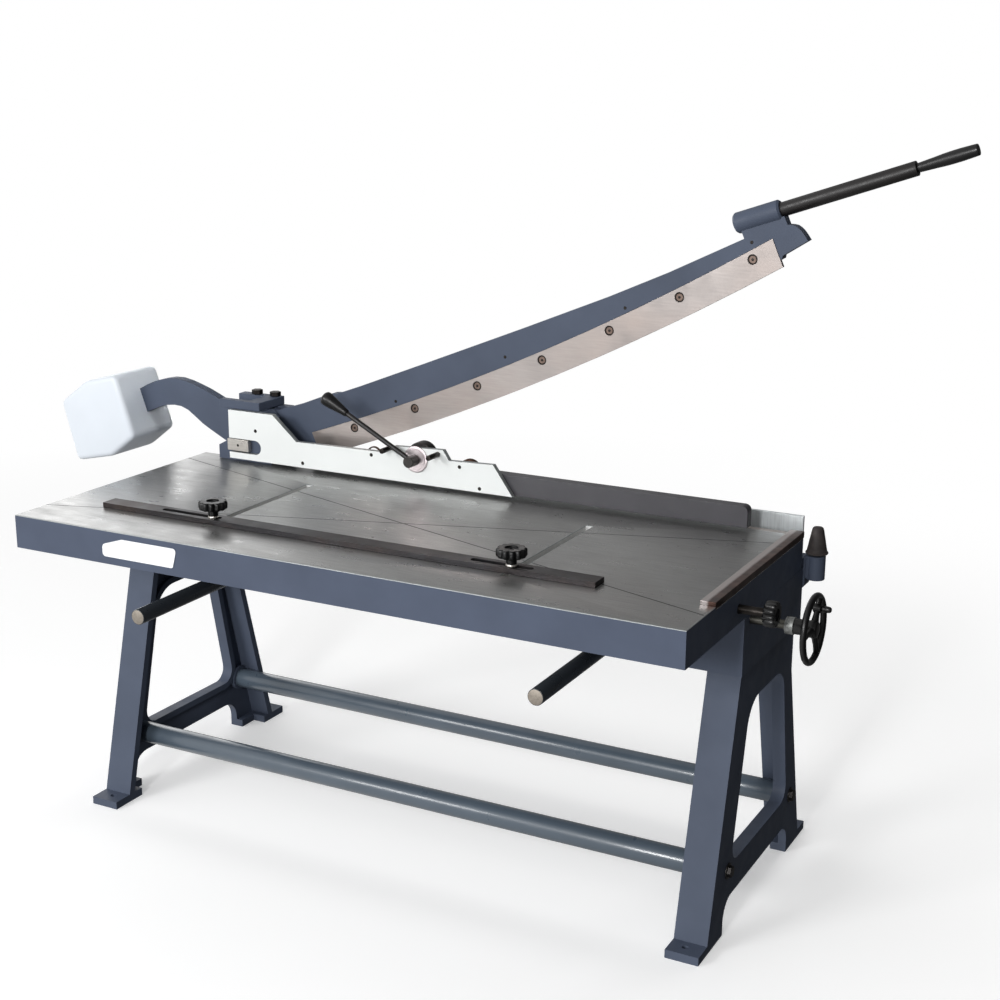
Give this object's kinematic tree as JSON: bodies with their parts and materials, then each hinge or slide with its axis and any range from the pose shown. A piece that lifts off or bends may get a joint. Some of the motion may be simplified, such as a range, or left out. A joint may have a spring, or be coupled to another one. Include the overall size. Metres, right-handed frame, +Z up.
{
  "type": "metal shear",
  "caption": "Floor-standing hand guillotine for sheet metal, with a counterweighted blade arm, lever hold-down, stop bar and handwheel back gauge.",
  "frame": {"origin": "middle of the footprint, on the floor", "axes": "+X along the table from the pivot towards the handle, +Y from the operator towards the back gauge, +Z up"},
  "size_m": [1.745, 0.6502, 1.2043],
  "materials": {
    "paint": "semi-gloss blue-grey",
    "table": "ground top, painted sides",
    "bright_steel": "bright",
    "black_steel": "blackened",
    "white_paint": "satin white",
    "weight_paint": "pale blue-white",
    "beam_paint": "satin dark grey",
    "black_gloss_steel": "gloss black",
    "black_plastic": "gloss black",
    "rubber": "matte",
    "spring_steel": "brown oxide",
    "label": "plain"
  },
  "bodies": {
    "base": {"table_bed": "table", "lower_blade": "bright_steel", "side_guide": "bright_steel", "name_plate": "label", "leg_frame_left": "paint", "leg_frame_right": "paint", "tie_rod_front": "paint", "tie_rod_rear": "paint", "pivot_bracket": "paint", "pivot_cap": "paint", "cap_bolt_left": "black_steel", "cap_bolt_right": "black_steel", "pivot_pin": "bright_steel", "pivot_nut": "black_steel", "carrier_plate": "white_paint", "locating_block": "bright_steel", "lever_bearing_disc": "bright_steel", "stop_pin_left": "black_steel", "stop_pin_right": "black_steel", "spring_pin_left": "black_steel", "spring_pin_right": "black_steel", "clamp_spring_left": "spring_steel", "clamp_spring_right": "spring_steel", "bumper_bracket": "paint", "rubber_bumper": "rubber", "gauge_guide_left": "paint", "gauge_guide_right": "paint"},
    "blade_arm": {"arm_casting": "paint", "upper_blade": "bright_steel", "blade_bolt_1": "black_steel", "blade_bolt_2": "black_steel", "blade_bolt_3": "black_steel", "blade_bolt_4": "black_steel", "blade_bolt_5": "black_steel", "blade_bolt_6": "black_steel", "blade_bolt_7": "black_steel", "counterweight": "weight_paint", "handle_bar": "black_gloss_steel", "handle_grip": "black_plastic"},
    "clamp_lever": {"lever_shaft": "black_steel", "lever_rod": "bright_steel", "lever_grip": "black_plastic"},
    "clamp_beam": {"clamp_beam": "beam_paint"},
    "back_gauge": {"gauge_plate": "bright_steel", "gauge_rod_left": "bright_steel", "gauge_rod_right": "bright_steel", "rack_bar_left": "bright_steel", "rack_bar_right": "bright_steel"},
    "gauge_shaft": {"cross_shaft": "bright_steel", "pinion_left": "bright_steel", "pinion_right": "bright_steel", "dial_collar": "bright_steel", "handwheel": "black_plastic"},
    "handwheel_grip": {"handwheel_grip": "black_plastic"},
    "gauge_lock": {"gauge_lock_knob": "black_plastic"},
    "stop_slide": {"t_bolt_left": "bright_steel", "t_bolt_right": "bright_steel"},
    "stop_bar": {"stop_bar": "black_steel"},
    "stop_knob_left": {"stop_knob_left": "black_plastic"},
    "stop_knob_right": {"stop_knob_right": "black_plastic"}
  },
  "joints": [
    {"name": "blade_arm_swing", "type": "hinge", "parent": "base", "child": "blade_arm", "pos_m": [-0.4046, 0.2131, 0.64], "axis": [0, 1, 0], "range_deg": [-6, 23.9]},
    {"name": "clamp_lever_turn", "type": "hinge", "parent": "base", "child": "clamp_lever", "pos_m": [-0.0596, 0.1561, 0.631], "axis": [0, 1, 0], "range_deg": [0, 120]},
    {"name": "clamp_beam_lift", "type": "slide", "parent": "base", "child": "clamp_beam", "axis": [0, 0, 1], "range_m": [-0.0051, 0]},
    {"name": "back_gauge_travel", "type": "slide", "parent": "base", "child": "back_gauge", "axis": [0, 1, 0], "range_m": [0, 0.16]},
    {"name": "handwheel_turn", "type": "hinge", "parent": "base", "child": "gauge_shaft", "pos_m": [0.1954, -0.0539, 0.5135], "axis": [1, 0, 0], "range_deg": [0, 460]},
    {"name": "handwheel_grip_spin", "type": "hinge", "parent": "gauge_shaft", "child": "handwheel_grip", "pos_m": [0.7554, -0.0375, 0.5412], "axis": [1, 0, 0], "continuous": true},
    {"name": "gauge_lock_turn", "type": "hinge", "parent": "base", "child": "gauge_lock", "pos_m": [0.6754, -0.1119, 0.547], "axis": [1, 0, 0], "range_deg": [-180, 180]},
    {"name": "stop_slide_travel", "type": "slide", "parent": "base", "child": "stop_slide", "axis": [0, 1, 0], "range_m": [-0.01, 0.24]},
    {"name": "stop_bar_shift", "type": "slide", "parent": "stop_slide", "child": "stop_bar", "axis": [1, 0, 0], "range_m": [-0.005, 0.06]},
    {"name": "stop_knob_left_turn", "type": "hinge", "parent": "stop_slide", "child": "stop_knob_left", "pos_m": [-0.2356, -0.2019, 0.6], "axis": [0, 0, 1], "range_deg": [-180, 180]},
    {"name": "stop_knob_right_turn", "type": "hinge", "parent": "stop_slide", "child": "stop_knob_right", "pos_m": [0.3174, -0.2019, 0.6], "axis": [0, 0, 1], "range_deg": [-180, 180]}
  ],
  "couplings": [
    {"joint": "clamp_beam_lift", "follows": "clamp_lever_turn", "m_per_rad": -0.0023873},
    {"joint": "handwheel_turn", "follows": "back_gauge_travel", "rad_per_m": 50}
  ]
}
